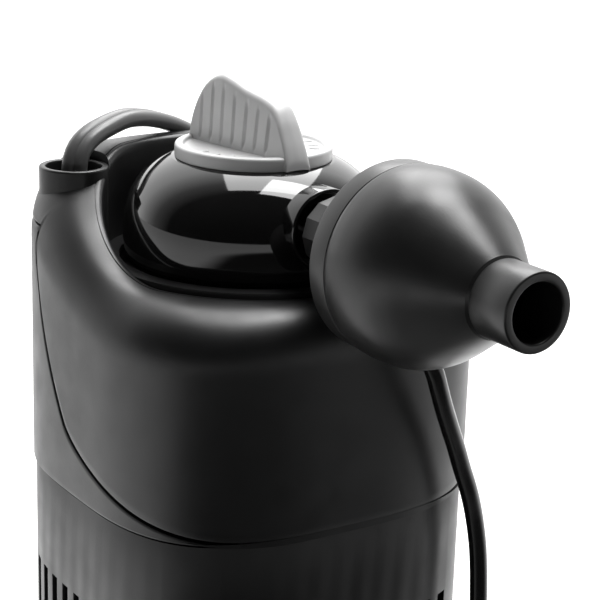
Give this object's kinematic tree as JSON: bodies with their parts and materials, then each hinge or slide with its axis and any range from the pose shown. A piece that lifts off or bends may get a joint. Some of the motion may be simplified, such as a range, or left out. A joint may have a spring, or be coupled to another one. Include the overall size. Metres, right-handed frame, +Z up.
{
  "type": "internal aquarium filter",
  "caption": "Upright internal aquarium filter: pump head with swivelling outlet and diffuser, flow knob, air hose, sponge container and suction bracket.",
  "frame": {"origin": "centre of the flat base, on the outlet's swivel axis", "axes": "+Z up along the swivel axis, -Y along the outlet at rest, +X to the right seen from the outlet's side"},
  "size_m": [0.1098, 0.2065, 0.1961],
  "materials": {
    "casing": "satin",
    "dome": "gloss",
    "diffuser": "satin",
    "collar": "matte",
    "knob": "satin",
    "inner_plastic": "matte",
    "foam": "open cell foam",
    "steel": "brushed",
    "copper": "enamelled wire",
    "magnet": "coated ferrite",
    "ceramic": "gloss",
    "rubber": "matte",
    "flex": "satin",
    "hose": "gloss",
    "cup": "satin",
    "pins": "nickel"
  },
  "bodies": {
    "container": {"container": "casing", "sponge": "foam", "intake_tube": "inner_plastic"},
    "head": {"inlet_plate": "inner_plastic", "hood_casing": "casing", "rear_casing": "casing", "cable_collar": "collar", "cable_gland": "rubber", "casing_screws": "steel", "bracket_rail": "casing", "motor_case": "inner_plastic", "motor_lid": "inner_plastic", "stator_core": "steel", "stator_coils": "copper", "rotor_can": "inner_plastic", "rotor_shaft": "ceramic", "lower_bush": "rubber", "upper_bush": "rubber", "pump_seat": "inner_plastic", "impeller_chamber": "inner_plastic", "swivel_retainer": "casing", "swivel_seal": "rubber", "supply_flex": "flex", "supply_flex_coil": "flex", "supply_flex_tail": "flex", "plug_body": "rubber", "plug_pins": "pins"},
    "rotor": {"rotor_magnet": "magnet", "impeller": "ceramic"},
    "swivel": {"swivel_dome": "dome", "outlet_tube": "dome", "outlet_seal": "rubber"},
    "knob": {"flow_knob": "knob", "knob_seal": "rubber", "flow_shutter": "inner_plastic"},
    "diffuser": {"diffuser_back": "diffuser", "diffuser_cone": "diffuser", "air_nipple": "diffuser", "air_hose": "hose", "air_hose_coil": "hose", "air_hose_tail": "hose", "air_intake_cap": "knob"},
    "bracket": {"bracket": "casing", "suction_cups": "cup"}
  },
  "joints": [
    {"name": "head_lift", "type": "slide", "parent": "container", "child": "head", "axis": [0, 0, 1], "range_m": [0, 0.05]},
    {"name": "outlet_swivel", "type": "hinge", "parent": "head", "child": "swivel", "pos_m": [0, 0, 0.172], "axis": [0, 0, 1], "range_deg": [-45, 45]},
    {"name": "knob_turn", "type": "hinge", "parent": "swivel", "child": "knob", "pos_m": [0, 0, 0.182], "axis": [0, 0, 1], "range_deg": [0, 90]},
    {"name": "rotor_spin", "type": "hinge", "parent": "head", "child": "rotor", "pos_m": [0, 0, 0.14], "axis": [0, 0, 1], "continuous": true},
    {"name": "diffuser_pull", "type": "slide", "parent": "swivel", "child": "diffuser", "axis": [0, -1, 0], "range_m": [0, 0.012]},
    {"name": "bracket_slide", "type": "slide", "parent": "head", "child": "bracket", "axis": [0, 0, -1], "range_m": [0, 0.03]}
  ]
}
